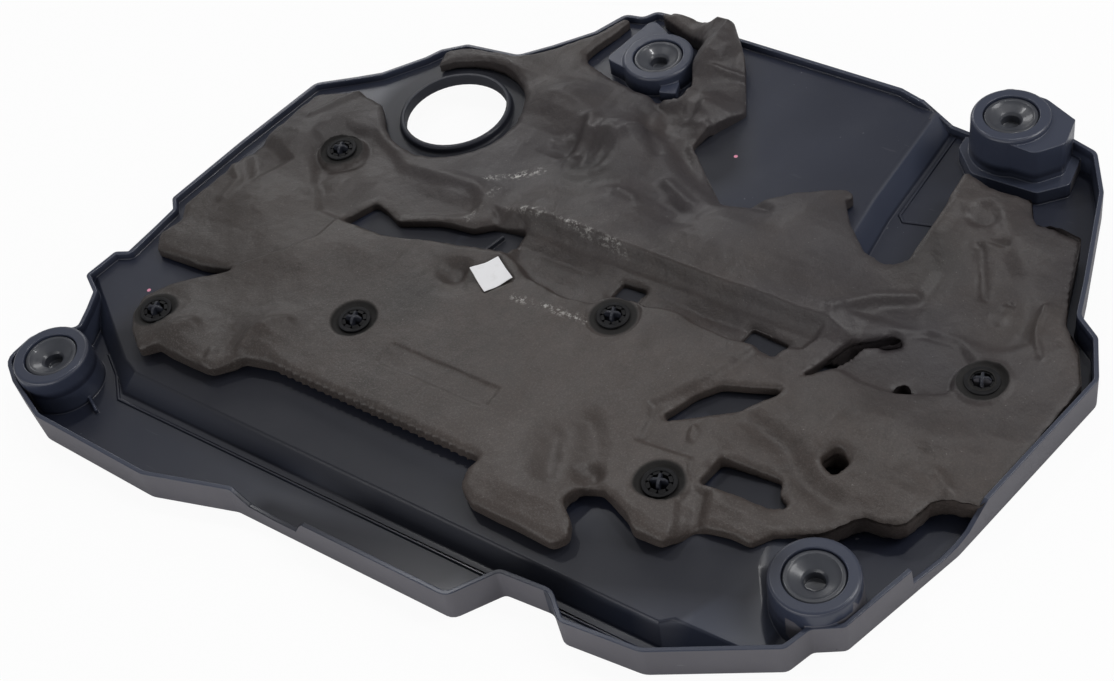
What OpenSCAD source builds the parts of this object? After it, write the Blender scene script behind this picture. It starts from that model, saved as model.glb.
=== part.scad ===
// Engine cover, lying with its show face down and its inner side up.
// One moulded shell, one moulded foam pad, four rubber ball sockets,
// six push-on washers on the shell's cross pins and one blank paper label.
// X runs along the front edge, Z is up, and the origin is under the middle of the cover.

/* [Shell] */
// Height of the skirt's free edge above the surface that the cover lies on
rim_h = 20; // [18:0.5:24]
// Wall of the moulded shell
wall = 2.5; // [2:0.1:3]
// Rise from the outer panels to the centre panel
panel_step = 13; // [10:0.5:14]
// Height of the small bead that borders the outer panels
bead_h = 1; // [0.6:0.1:2]
// Width of that bead
bead_w = 1.6; // [1:0.1:3]

/* [Oil filler opening] */
// Diameter of the oil filler opening
filler_d = 62; // [54:1:66]
// Width of the collar round the opening
collar_w = 3; // [2:0.5:5]
// Height of the collar above the centre panel
collar_h = 5; // [3:0.5:8]

/* [Mounting bosses] */
// Radius of a boss
boss_r = 21.5; // [20:0.5:24]
// Bore in a boss that takes the rubber socket
boss_bore_d = 30; // [28:0.5:32]
// Depth of that bore
boss_bore_depth = 12; // [10:0.5:12.5]
// Rise of the left boss above the outer panel
left_boss_h = 24.5; // [22:0.5:28]
// Rise of the back boss above the centre panel
back_boss_h = 12.5; // [12.5:0.5:16]
// Rise of the right boss above the outer panel
right_boss_h = 34.5; // [30:0.5:38]
// Rise of the front boss above the outer panel
front_boss_h = 26.5; // [24:0.5:30]
// Round on the outer edge of a boss
boss_round = 2; // [1:0.25:2.5]
// How far the pointed plate of the back boss stays below its top
housing_drop = 1.5; // [1:0.25:3]
// Height of the small tab of the back boss above the centre panel
back_tab_h = 7; // [4:0.5:10]
// Height of the wide foot of the right boss above the outer panel
right_foot_h = 9; // [6:0.5:14]

/* [Rubber sockets] */
// Play all round between a socket and its bore
socket_play = 0.3; // [0.2:0.05:0.5]
// How far a socket stands below the top of its boss
socket_sink = 1; // [0.5:0.25:2]
// Diameter of the hole for the ball stud
stud_d = 10; // [9:0.5:12]
// Depth of the funnel that leads to that hole
funnel_depth = 4.5; // [3.5:0.5:5]
// Width of the flat ring round the funnel
socket_lip = 2.4; // [1.5:0.1:3]

/* [Cross pins and washers] */
// Width of a cross pin
pin_w = 9; // [6:0.5:10]
// Thickness of its ribs
pin_rib = 1.6; // [1.2:0.1:2.4]
// How far a pin stands above its washer
pin_proud = 3; // [2:0.5:5]
// Diameter of a push-on washer
washer_d = 18; // [16:0.5:20]
// Thickness of a washer
washer_t = 1.2; // [0.8:0.1:2]
// Play between a washer's hole and its pin
washer_play = 0.3; // [0.2:0.05:0.5]
// Width of the slots between a washer's spring teeth
tooth_slot = 1; // [0.6:0.1:1.6]

/* [Foam pad] */
// Thickness of the foam where it is plain
foam_t = 11; // [8:0.5:14]
// Clear gap between the foam and its neighbours
foam_gap = 0.3; // [0.2:0.05:0.6]
// Height of the long crease above the plain foam
crease_h = 10; // [6:0.5:14]
// Depth of the bare plate sunk into the foam
plate_sink = 1; // [0.6:0.1:2]
// Spacing of the points that shape the top of the foam
foam_grid = 8; // [7:0.5:12]
// Diameter of the clearance in the foam round a cross pin
pin_clear_d = 12; // [11:0.5:14]

/* [Label] */
// Length of the paper label
label_l = 20; // [18:1:26]
// Width of the paper label
label_w = 17; // [14:1:20]
// Thickness of the paper
label_t = 0.4; // [0.3:0.1:0.6]

/* [Hidden] */
arc_steps = 3;
circle_faces = 64;
thin_rib_h = 3;
over = 1;
far = 60;
plan_x = 266;
plan_y = 214;

centre_top = wall + panel_step;
foam_top = centre_top + foam_gap + foam_t;
skirt_y = -199;

// Free edge of the skirt: x, y and the radius of each corner, anticlockwise from the left boss
rim = [
    [-262, -190, 10], [-246, -200, 10], [-215, -plan_y + 2, 12], [-133, -plan_y, 14],
    [-84, skirt_y - 1, 10], [54, skirt_y, 7], [69, -176, 4], [96, -174, 6], [109, -185, 6],
    [151, -181, 12], [207, -149, 6], [212, -135, 5], [225, -127, 5], [246, -58, 20],
    [plan_x, 52, 8], [255, 77, 6], [242, 87, 6], [236, 110, 10], [218, 172, 8], [203, 199, 7],
    [187, 204, 4], [168, plan_y - 1, 10], [146, plan_y, 9], [134, 199, 4], [99, 201, 4], [85, 205, 8],
    [-26, 208, 6], [-60, 212, 6], [-84, 211, 6], [-89, 203, 5], [-101, 201, 6], [-110, 179, 6],
    [-127, 158, 6], [-142, 142, 8], [-178, 138, 6], [-191, 127, 5], [-196, 117, 5], [-213, 94, 6],
    [-226, 84, 5], [-247, 69, 8], [-256, 6, 12], [-262, -50, 3], [-255, -57, 2], [-255, -95, 2],
    [-263, -99, 3], [-plan_x, -121, 3], [-252, -129, 3], [-246, -141, 3], [-241, -153, 3],
    [-249, -159, 7], [-261, -170, 8]
];

// Foot and top edge of the step between the outer panels and the centre panel, point for point
step_foot = [
    [-320, -92], [-204, -165], [-197, -170], [152, -167], [192, -149], [205, -112], [184, -60],
    [124, 60], [119, 122], [119, 260], [-320, 260]
];
step_top = [
    [-315, -84], [-201, -157], [-190, -161], [148, -161], [153, -157], [172, -113], [166, -60],
    [113, 60], [109, 122], [109, 260], [-315, 260]
];

filler_at = [-148, 84];
filler_foam_r = 43;

// Place and top of each boss: left, back, right, front
boss_at = [[-233, -179], [-55, 167], [157, 191], [203, -114]];
boss_top = [wall + left_boss_h, centre_top + back_boss_h, wall + right_boss_h, wall + front_boss_h];
// Pointed plate and small tab of the back boss, and the shoulder and the foot of the right boss
back_housing = [[-84, 154, 4], [-60, 149, 0], [-46, 160, 0], [-47, 181, 0], [-77, 197, 4]];
back_tab = [[-45, 156, 0], [-41, 144, 1], [-31, 147, 1], [-34, 156, 0], [-40, 162, 0]];
right_tower = [[137, 186, 12], [150, 171, 12], [180, 171, 6], [191, 184, 5], [184, 230, 0], [137, 230, 0]];
right_foot = [[131, 181, 6], [146, 165, 6], [184, 165, 4], [197, 178, 4], [190, 230, 0], [131, 230, 0]];

// Place of each cross pin: left, back, inner, middle, front, right
pin_at = [[-200, -127], [-187, 23], [-93, -82], [33, -19], [112, -100], [217, 28]];
// Radius of the dish in the foam round each pin
dish_r = [11.5, 12.5, 12.5, 15, 12, 12.5];
// Depth of each dish below the foam round it
dish_depth = [2, 3, 2.5, 2, 2.5, 3];

label_at = [-43, -23];
label_turn = -31;
plate_at = [-27, -94];
plate_size = [72, 15];

// Outline of the foam pad with its corner radii, clockwise from the left wing
foam_outline = concat(
    [[-238, -88, 3], [-245, -78, 4], [-241, -63, 4], [-248, -52, 5], [-242, -10, 20], [-236, 58, 8],
        [-212, 71, 6], [-192, 68, 4]],
    [for (a = [-145 : 15 : 140]) concat(filler_at + filler_foam_r * [cos(a), sin(a)], [0])],
    [[-184, 124, 4], [-171, 134, 4], [-139, 136, 4], [-121, 155, 4], [-106, 175, 3], [-98, 195, 2],
        [-93, 196, 2], [-95, 184, 3], [-99, 168, 4], [-101, 157, 4], [-95, 150, 4], [-75, 144, 4],
        [-55, 140, 20], [-40, 139, 4], [-26, 144, 3], [-24, 154, 4], [-31, 168, 4], [-33, 184, 3],
        [-38, 190, 3], [-72, 202, 2], [-77, 206, 1], [-62, 208, 2], [-24, 204, 5],
        [-8, 188, 5], [13, 152, 3], [4, 133, 5], [-1, 115, 6], [25, 93, 8], [40, 80, 8],
        [52, 84, 5], [73, 102, 8], [97, 116, 6], [104, 113, 3], [101, 107, 3], [112, 92, 8],
        [127, 78, 8], [142, 74, 7], [149, 84, 6], [149, 122, 10], [147, 156, 3], [165, 150, 5],
        [187, 152, 3], [196, 135, 4], [205, 139, 4], [221, 137, 3], [231, 99, 14], [238, 78, 6],
        [250, 66, 4], [260, 46, 5], [249, -40, 4], [234, -43, 3], [228, -47, 3], [223, -64, 5],
        [217, -68, 5], [203, -70, 8], [192, -86, 6], [173, -98, 5], [166, -108, 3], [155, -108, 6],
        [138, -111, 6], [131, -128, 4], [115, -129, 5], [109, -124, 6], [90, -116, 8], [80, -119, 6],
        [76, -131, 5], [86, -138, 5], [90, -146, 4], [85, -153, 4], [36, -152, 7], [26, -146, 6],
        [22, -134, 6], [28, -127, 3], [-81, -127, 6], [-114, -127, 10], [-131, -131, 6],
        [-143, -146, 6], [-174, -146, 5], [-183, -145, 3], [-190, -153, 3], [-205, -143, 4],
        [-213, -134, 5], [-217, -121, 6], [-208, -107, 5], [-180, -80, 1], [-205, -86, 6]]
);

// Openings through the foam, each with its corner radii
foam_holes = [
    [[-152, -22, 3], [-143, -1, 3], [-134, -3, 3], [-121, -8, 4], [-98, 2, 6], [-77, 5, 6],
        [-66, 14, 2], [-48, 17, 2], [-48, -5, 3], [-79, -12, 8], [-93, -14, 6], [-127, -24, 6]],
    [[20, -5, 1], [21, 8, 1], [36, 9, 1], [35, -4, 1]],
    [[98, -2, 1], [99, 10, 1], [122, 8, 1], [120, -5, 1]],
    [[90, -62, 2], [97, -44, 5], [106, -32, 6], [133, -22, 6], [141, -2, 5], [149, 21, 6],
        [169, 38, 2], [171, 33, 2], [157, 21, 5], [150, 1, 6], [143, -5, 4], [135, -18, 5],
        [134, -26, 4], [122, -43, 10], [94, -64, 2]],
    [[181, 1, 1.5], [183, 11, 1.5], [192, 7, 1.5]],
    [[171, -52, 3], [176, -40, 3], [185, -46, 3], [181, -56, 3]],
    [[127, -90, 2], [130, -72, 2], [161, -69, 2], [164, -77, 2], [172, -81, 2], [163, -87, 3]]
];

// Rounded rises and hollows of the foam's top: x, y, reach in x, reach in y and height
foam_lumps = [
    [-86, 112, 18, 16, 12], [-39, 98, 20, 14, 13], [-64, 84, 13, 10, -9], [-36, 76, 16, 13, 9],
    [-10, 52, 18, 13, 7], [22, 60, 16, 11, -5], [60, 62, 24, 12, 5], [92, 84, 18, 18, 6],
    [-22, 180, 14, 22, 17], [-30, 200, 12, 10, 12], [-60, 206, 24, 8, 4], [-6, 142, 16, 12, 10], [-135, 130, 26, 8, 5],
    [-218, 26, 18, 26, 7], [-201, -35, 22, 20, 6], [-212, -72, 22, 12, 2], [-168, 0, 14, 16, 5],
    [-157, -59, 28, 20, 4], [-128, -112, 16, 14, 8], [-176, -132, 22, 12, 6],
    [-61, -31, 13, 10, -4], [-118, -40, 18, 12, 3], [-100, 28, 30, 8, 5],
    [60, -134, 24, 14, 5], [112, -118, 14, 11, 5], [128, -72, 12, 14, 3], [150, -96, 18, 8, 3],
    [-17, 4, 22, 7, -4], [75, 6, 24, 7, -4], [165, 70, 12, 22, -4], [188, 118, 18, 20, 6],
    [204, 74, 12, 28, -4], [232, 62, 12, 34, 5], [186, -18, 26, 22, 6], [226, -24, 16, 16, -3],
    [206, -50, 18, 12, 4], [168, -40, 12, 18, 4]
];
crease_y = 19;
crease_from = -72;
crease_to = 152;
crease_back = 46;
crease_front = 5;

function flat2(p) = [p[0], p[1]];
function unit(v) = v / norm(v);
function turn(u, v) = u[0] * v[1] - u[1] * v[0];

// Arc in the place of corner i of an outline
function corner(p, i) =
    let (
        n = len(p),
        b = flat2(p[i]),
        u = unit(flat2(p[(i + n - 1) % n]) - b),
        v = unit(flat2(p[(i + 1) % n]) - b),
        half = acos(max(-1, min(1, u * v))) / 2,
        r = p[i][2]
    )
    r <= 0 || half > 88 ? [b] :
    let (
        centre = b + unit(u + v) * r / sin(half),
        from = b + u * r / tan(half) - centre,
        sweep = (180 - 2 * half) * (turn(u, v) < 0 ? 1 : -1)
    )
    [for (k = [0 : arc_steps])
        let (a = sweep * k / arc_steps)
        centre + [from[0] * cos(a) - from[1] * sin(a), from[0] * sin(a) + from[1] * cos(a)]];

function rounded(p) = [for (i = [0 : len(p) - 1]) each corner(p, i)];

// An anticlockwise outline moved inwards by d, with its corner radii kept in step
function inset(p, d) =
    let (n = len(p))
    [for (i = [0 : n - 1])
        let (
            b = flat2(p[i]),
            u = unit(b - flat2(p[(i + n - 1) % n])),
            v = unit(flat2(p[(i + 1) % n]) - b),
            m = [-u[1] - v[1], u[0] + v[0]],
            r = p[i][2] + (turn(u, v) < 0 ? d : -d)
        )
        [b[0] + m[0] * 2 * d / (m * m), b[1] + m[1] * 2 * d / (m * m), max(r, 0.5)]];

function bell(t) = exp(-t * t);
function ease(t) = let (c = max(0, min(1, t))) c * c * (3 - 2 * c);

// Height of the foam's top at a place, before the dishes and the plate are cut
function crease(x, y) =
    let (
        along = ease((x - crease_from) / 30) * ease((crease_to - x) / 16),
        across = y > crease_y ? 1 - 0.6 * ease((y - crease_y) / crease_back)
            : ease((y - crease_y + crease_front) / crease_front)
    )
    crease_h * along * across * (y > crease_y ? bell((y - crease_y) / 70) : 1);
function lumps(x, y) = sum([for (l = foam_lumps) l[4] * bell((x - l[0]) / l[2]) * bell((y - l[1]) / l[3])]);
function sum(v, i = 0) = i < len(v) ? v[i] + sum(v, i + 1) : 0;
function edge_drop(x) = 6 * ease((x - 140) / 80);
function foam_z(x, y) = foam_top + crease(x, y) + lumps(x, y) - edge_drop(x);

function pin_seat(i) = foam_z(pin_at[i][0], pin_at[i][1]) - dish_depth[i];
function label_z() = foam_z(label_at[0], label_at[1]) - plate_sink;
function plate_z() = foam_z(plate_at[0], plate_at[1]) - plate_sink;

// Solid between two level outlines that match point for point
module loft(low, high, z_low, z_high) {
    n = len(low);
    polyhedron(
        points = concat([for (p = low) [p[0], p[1], z_low]], [for (p = high) [p[0], p[1], z_high]]),
        faces = concat(
            [[for (i = [0 : n - 1]) i]],
            [[for (i = [n - 1 : -1 : 0]) n + i]],
            [for (i = [0 : n - 1]) [i, n + i, n + (i + 1) % n]],
            [for (i = [0 : n - 1]) [i, n + (i + 1) % n, (i + 1) % n]]
        ),
        convexity = 6
    );
}

// The step as a solid, moved out by gap on its slope and up by gap on its flat
module step_solid(gap, drop) {
    grow = [for (p = step_foot) [p[0], p[1], 0]];
    grow_top = [for (p = step_top) [p[0], p[1], 0]];
    loft(inset(grow, -gap), inset(grow_top, -gap), wall - drop, centre_top + gap - drop);
}

// One side of a strip along a path, mitred at its bends
function strip_side(path, d) =
    let (n = len(path))
    [for (i = [0 : n - 1])
        let (
            u = unit(path[max(i, 1)] - path[max(i, 1) - 1]),
            v = unit(path[min(i + 1, n - 1)] - path[min(i, n - 2)]),
            m = [-u[1] - v[1], u[0] + v[0]]
        )
        path[i] + m * 2 * d / (m * m)];
function reversed(p) = [for (i = [len(p) - 1 : -1 : 0]) p[i]];

// Narrow upright rib along a path
module rib(path, width, height) {
    linear_extrude(height)
    polygon(concat(strip_side(path, -width / 2), reversed(strip_side(path, width / 2))));
}

// Cut in the skirt's free edge, drawn as a profile of distance and height from a towards b
module edge_cut(a, b, profile) {
    d = b - a;
    across = 16;
    translate([a[0], a[1], 0])
    rotate([0, 0, atan2(d[1], d[0])])
    translate([0, across / 2, 0])
    rotate([90, 0, 0])
    linear_extrude(across)
    polygon(profile);
}

module boss_body(i) {
    translate([boss_at[i][0], boss_at[i][1], 0])
    rotate_extrude($fn = circle_faces)
    polygon(concat(
        [[0, wall / 2], [boss_r + 1, wall / 2]],
        [for (a = [0 : 30 : 90])
            [boss_r - boss_round + boss_round * cos(a), boss_top[i] - boss_round + boss_round * sin(a)]],
        [[0, boss_top[i]]]
    ));
}

// Block inside the skirt that ties a boss into the shell
module tie(outline, from, to) {
    translate([0, 0, from])
    linear_extrude(to - from)
    intersection() {
        polygon(rounded(outline));
        polygon(rounded(rim));
    }
}

module skirt() {
    linear_extrude(rim_h)
    difference() {
        polygon(rounded(rim));
        polygon(rounded(inset(rim, wall)));
    }
}

module boss_bore(i) {
    translate([boss_at[i][0], boss_at[i][1], boss_top[i] - boss_bore_depth])
    cylinder(d = boss_bore_d, h = boss_bore_depth + over, $fn = circle_faces);
}

function pin_floor(i) = i == 5 ? wall / 2 : centre_top - wall / 2;

module cross_pin(i) {
    height = pin_seat(i) + washer_t + pin_proud - pin_floor(i);
    translate([pin_at[i][0], pin_at[i][1], pin_floor(i)])
    rotate([0, 0, 20])
    for (a = [0, 90])
        rotate([0, 0, a])
        translate([0, pin_rib / 2, 0])
        rotate([90, 0, 0])
        linear_extrude(pin_rib)
        polygon([[-pin_w / 2, 0], [pin_w / 2, 0], [pin_w / 2, height - 1.5], [pin_w / 2 - 1.5, height],
            [1.5 - pin_w / 2, height], [-pin_w / 2, height - 1.5]]);
}

module shell() {
    color([0.15, 0.16, 0.19])
    difference() {
        union() {
            linear_extrude(wall) polygon(rounded(rim));
            skirt();
            intersection() {
                linear_extrude(rim_h) polygon(rounded(rim));
                step_solid(0, 0);
            }
            for (i = [0 : 3]) boss_body(i);
            tie(back_housing, centre_top - wall / 2, boss_top[1] - housing_drop);
            tie(back_tab, centre_top - wall / 2, centre_top + back_tab_h);
            tie(right_tower, wall / 2, boss_top[2] - 3);
            tie(right_foot, wall / 2, wall + right_foot_h);
            for (i = [0 : 5]) cross_pin(i);
            filler_collar();
            beads();
        }
        step_solid(0, wall);
        for (i = [0 : 3]) boss_bore(i);
        translate([filler_at[0], filler_at[1], -over]) cylinder(d = filler_d, h = far, $fn = circle_faces);
        skirt_cuts();
    }
}

module filler_collar() {
    translate([filler_at[0], filler_at[1], centre_top - wall / 2])
    rotate_extrude($fn = circle_faces)
    polygon([[filler_d / 2 - over, 0], [filler_d / 2 + collar_w + 2, 0],
        [filler_d / 2 + collar_w, wall / 2 + 1], [filler_d / 2 + collar_w, wall / 2 + collar_h - 1],
        [filler_d / 2 + collar_w - 1, wall / 2 + collar_h], [filler_d / 2 - over, wall / 2 + collar_h]]);
}

module beads() {
    bead_from = wall / 2;
    translate([0, 0, bead_from]) {
        rib([[-225, -152], [-210, -161], [-196, -174], [150, -172], [196, -153]], bead_w, bead_from + bead_h);
        rib([[122, 196], [122, 128], [126, 124], [150, 130]], bead_w, bead_from + bead_h);
        rib([[-218, -178], [-200, -187]], bead_w, bead_from + thin_rib_h);
    }
    translate([0, 0, centre_top - bead_from]) rib([[-64, -5], [-60, 10]], bead_w, bead_from + thin_rib_h);
}

module skirt_cuts() {
    top = rim_h + over;
    edge_cut([-84, skirt_y - 1], [54, skirt_y], [[0, top], [11, 12], [28, 10.5], [42, 10.5], [46, 17], [50, top]]);
    edge_cut([225, -127], [246, -58], [[42, top], [43, 9], [62, 7], [80, 10], [96, top]]);
    edge_cut([134, 199], [99, 201], [[-3, top], [-1, 7], [15, 8], [35, top]]);
}

module grommet(i) {
    r = boss_bore_d / 2 - socket_play;
    h = boss_bore_depth - socket_sink - foam_gap;
    base = boss_top[i] - boss_bore_depth + foam_gap;
    color([0.19, 0.2, 0.24])
    translate([boss_at[i][0], boss_at[i][1], base])
    rotate_extrude($fn = circle_faces)
    polygon([[0, 0], [r - 0.8, 0], [r, 0.8], [r, h - 0.8], [r - 0.8, h], [r - socket_lip, h],
        [r - socket_lip - 1, h - 0.8], [stud_d / 2 + 1.2, h - funnel_depth + 1.4],
        [stud_d / 2, h - funnel_depth], [stud_d / 2, 1.6], [0, 1.6]]);
}

// Push-on washer with eight spring teeth round its hole
module washer(i) {
    hole_r = pin_w / 2 + washer_play;
    color([0.12, 0.12, 0.13])
    translate([pin_at[i][0], pin_at[i][1], pin_seat(i) + foam_gap])
    difference() {
        cylinder(d = washer_d, h = washer_t, $fn = circle_faces);
        translate([0, 0, -over]) cylinder(r = hole_r, h = washer_t + 2 * over, $fn = circle_faces);
        for (a = [22.5 : 45 : 337.5])
            rotate([0, 0, a])
            translate([hole_r - 0.5, -tooth_slot / 2, -over])
            cube([2.3, tooth_slot, washer_t + 2 * over]);
    }
}

module label() {
    color([0.93, 0.93, 0.92])
    translate([label_at[0], label_at[1], label_z() + foam_gap])
    rotate([0, 0, label_turn])
    translate([-label_l / 2, -label_w / 2, 0])
    cube([label_l, label_w, label_t]);
}

// Closed solid under the foam's shaped top: a grid of points that narrows to a point far below
module foam_block() {
    xs = [for (p = foam_outline) p[0]];
    ys = [for (p = foam_outline) p[1]];
    nx = ceil((max(xs) - min(xs)) / foam_grid) + 2;
    ny = ceil((max(ys) - min(ys)) / foam_grid) + 2;
    x0 = min(xs) - foam_grid;
    y0 = min(ys) - foam_grid;
    apex = (nx + 1) * (ny + 1);
    function at(i, j) = i * (ny + 1) + j;
    polyhedron(
        points = concat(
            [for (i = [0 : nx], j = [0 : ny])
                let (x = x0 + i * foam_grid, y = y0 + j * foam_grid) [x, y, foam_z(x, y)]],
            [[0, 0, -100 * far]]
        ),
        faces = concat(
            [for (i = [0 : nx - 1], j = [0 : ny - 1]) [at(i, j), at(i + 1, j + 1), at(i + 1, j)]],
            [for (i = [0 : nx - 1], j = [0 : ny - 1]) [at(i, j), at(i, j + 1), at(i + 1, j + 1)]],
            [for (i = [0 : nx - 1]) [at(i, 0), at(i + 1, 0), apex]],
            [for (i = [0 : nx - 1]) [at(i + 1, ny), at(i, ny), apex]],
            [for (j = [0 : ny - 1]) [at(0, j + 1), at(0, j), apex]],
            [for (j = [0 : ny - 1]) [at(nx, j), at(nx, j + 1), apex]]
        ),
        convexity = 10
    );
}

module foam_pad() {
    color([0.32, 0.3, 0.28])
    difference() {
        intersection() {
            foam_block();
            translate([0, 0, wall + foam_gap])
            linear_extrude(far)
            difference() {
                polygon(rounded(foam_outline));
                for (h = foam_holes) polygon(rounded(h));
                for (p = pin_at) translate(p) circle(d = pin_clear_d, $fn = 24);
            }
        }
        step_solid(foam_gap, 0);
        for (i = [0 : 5])
            translate([pin_at[i][0], pin_at[i][1], pin_seat(i)])
            cylinder(r = dish_r[i], h = far, $fn = 32);
        translate([plate_at[0] - plate_size[0] / 2, plate_at[1] - plate_size[1] / 2, plate_z()])
        cube([plate_size[0], plate_size[1], far]);
        translate([label_at[0], label_at[1], label_z()])
        rotate([0, 0, label_turn])
        translate([-label_l / 2 - 1, -label_w / 2 - 1, 0])
        cube([label_l + 2, label_w + 2, far]);
    }
}

shell();
foam_pad();
grommet(0);  // grommet_left
grommet(1);  // grommet_back
grommet(2);  // grommet_right
grommet(3);  // grommet_front
washer(0);  // washer_left
washer(1);  // washer_back
washer(2);  // washer_inner
washer(3);  // washer_middle
washer(4);  // washer_front
washer(5);  // washer_right
label();
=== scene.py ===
import math

import bmesh
import bpy
import numpy as np
from mathutils import Matrix, Vector


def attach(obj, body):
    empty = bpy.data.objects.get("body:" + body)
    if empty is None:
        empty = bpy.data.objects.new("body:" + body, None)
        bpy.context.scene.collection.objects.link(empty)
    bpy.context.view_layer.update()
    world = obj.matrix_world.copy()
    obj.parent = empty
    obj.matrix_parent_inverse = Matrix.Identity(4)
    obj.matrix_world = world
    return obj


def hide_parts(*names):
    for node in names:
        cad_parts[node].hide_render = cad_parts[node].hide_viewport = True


# Engine cover with its inner side up: shell, foam pad, push-on washers, rubber sockets and label

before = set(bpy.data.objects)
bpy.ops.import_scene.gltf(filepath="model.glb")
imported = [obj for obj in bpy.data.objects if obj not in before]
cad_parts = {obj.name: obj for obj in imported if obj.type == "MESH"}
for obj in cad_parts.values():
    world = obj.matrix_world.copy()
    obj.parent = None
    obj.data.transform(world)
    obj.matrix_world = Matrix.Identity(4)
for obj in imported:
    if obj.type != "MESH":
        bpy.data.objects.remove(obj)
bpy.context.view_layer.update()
mm = 0.001


def boxOf(node):
    corners = np.array([vertex.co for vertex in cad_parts[node].data.vertices])
    return corners.min(axis=0), corners.max(axis=0)


def middleOf(node):
    low, high = boxOf(node)
    return (low + high) / 2


washerNodes = [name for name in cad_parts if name.startswith("washer_")]
pinPlaces = [(middleOf(name)[:2] / mm).tolist() for name in washerNodes]  # in millimetres


# Shader maths: one output socket, so an expression on values adds its Math nodes

class Wire:
    def __init__(self, tree, socket):
        self.tree = tree
        self.socket = socket

    def maths(self, operation, other=0.0, swapped=False, clamp=False):
        pair = (other, self) if swapped else (self, other)
        settings = {"operation": operation, "use_clamp": clamp}
        return addNode(self.tree, "ShaderNodeMath", settings, at=dict(enumerate(pair)))

    def __add__(self, other):
        return self.maths("ADD", other)

    def __radd__(self, other):
        return self.maths("ADD", other, swapped=True)

    def __sub__(self, other):
        return self.maths("SUBTRACT", other)

    def __rsub__(self, other):
        return self.maths("SUBTRACT", other, swapped=True)

    def __mul__(self, other):
        return self.maths("MULTIPLY", other)

    def __rmul__(self, other):
        return self.maths("MULTIPLY", other, swapped=True)

    def __truediv__(self, other):
        return self.maths("DIVIDE", other)

    def __pow__(self, other):
        return self.maths("POWER", other)

    def __abs__(self):
        return self.maths("ABSOLUTE")

    def clamped(self):
        return self.maths("ADD", clamp=True)

    def above(self, level, soft):  # 0 up to the level, then up to 1 over the soft stretch
        return ((self - level) / soft).clamped()


def plug(tree, socket, value):
    if isinstance(value, Wire):
        tree.links.new(value.socket, socket)
    else:
        socket.default_value = value


def addNode(tree, kind, settings=None, out=0, at=None, **inputs):  # at holds inputs by their number
    node = tree.nodes.new(kind)
    for key, value in (settings or {}).items():
        setattr(node, key, value)
    named = {key.replace("_", " "): value for key, value in inputs.items()}
    for key, value in ((at or {}) | named).items():
        for single in value if isinstance(value, list) else [value]:
            plug(tree, node.inputs[key], single)
    return Wire(tree, node.outputs[out])


class Recipe:  # one material's node tree
    def __init__(self, name):
        self.material = bpy.data.materials.new(name)
        self.material.use_nodes = True
        self.tree = self.material.node_tree
        self.place = self.node("ShaderNodeTexCoord", out="Object")

    def node(self, kind, settings=None, out=0, at=None, **inputs):
        return addNode(self.tree, kind, settings, out, at, **inputs)

    def noise(self, scale, detail, roughness=0.55, place=None):
        return self.node("ShaderNodeTexNoise", Vector=place or self.place, Scale=scale,
                         Detail=detail, Roughness=roughness)

    def pattern(self, scale, detail, level, soft, roughness=0.55, place=None):
        return self.noise(scale, detail, roughness, place).above(level, soft)

    def uneven(self, base, change, scale, detail):
        return base + self.noise(scale, detail) * change

    def bumps(self, layers):
        under = {}
        for scale, detail, height, strength in layers:
            normal = self.node("ShaderNodeBump", Height=self.noise(scale, detail), Distance=height,
                               Strength=strength, **under)
            under = {"Normal": normal}
        return normal

    def mix(self, factor, first, second):
        return self.node("ShaderNodeMix", {"data_type": "RGBA"}, 2, {0: factor, 6: first, 7: second})

    def stretched(self, scale):
        return self.node("ShaderNodeMapping", Vector=self.place, Scale=scale)

    def axes(self):
        split = self.node("ShaderNodeSeparateXYZ", Vector=self.place).socket.node
        return [Wire(self.tree, socket) for socket in split.outputs]

    def finish(self, **sockets):
        shader = self.tree.nodes["Principled BSDF"]
        for key, value in sockets.items():
            plug(self.tree, shader.inputs[key.replace("_", " ")], value)
        return self.material


# Masks in plan, with places and widths in millimetres

def past(axis, start, span):  # 0 up to a place on an axis, then up to 1 over the span
    return axis.above(start * mm, span * mm)


def around(axis, middle, reach):  # 1 at a place on an axis, falling to 0 at its reach
    return 1 - (abs(axis - middle * mm) / (reach * mm)).clamped()


def nearSpot(x, y, spot, full, soft):  # 1 within a full radius, 0 past a soft rim
    away = ((x - spot[0] * mm) ** 2 + (y - spot[1] * mm) ** 2) ** 0.5
    return 1 - away.above(full * mm, soft * mm)


def nearLine(x, y, start, end, width):  # 1 on a line, 0 beyond its half width
    ahead = (Vector(end) - Vector(start)) * mm
    reach = ahead.length
    ahead = ahead / reach
    x, y = x - start[0] * mm, y - start[1] * mm
    along = x * ahead.x + y * ahead.y
    aside = abs(y * ahead.x - x * ahead.y)
    beyond = abs(along - reach / 2) - reach / 2
    return (1 - (aside / (width * mm)).clamped()) * (1 - beyond.above(0, width * mm))


# Finishes. A pattern is a noise scale, its detail, the level where it starts, its soft edge and at times
# its roughness. A bump is a noise scale, its detail, a height in metres and a strength, the finest first.
# "rough" is a base, what the noise adds, and the noise scale and detail.

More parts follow.
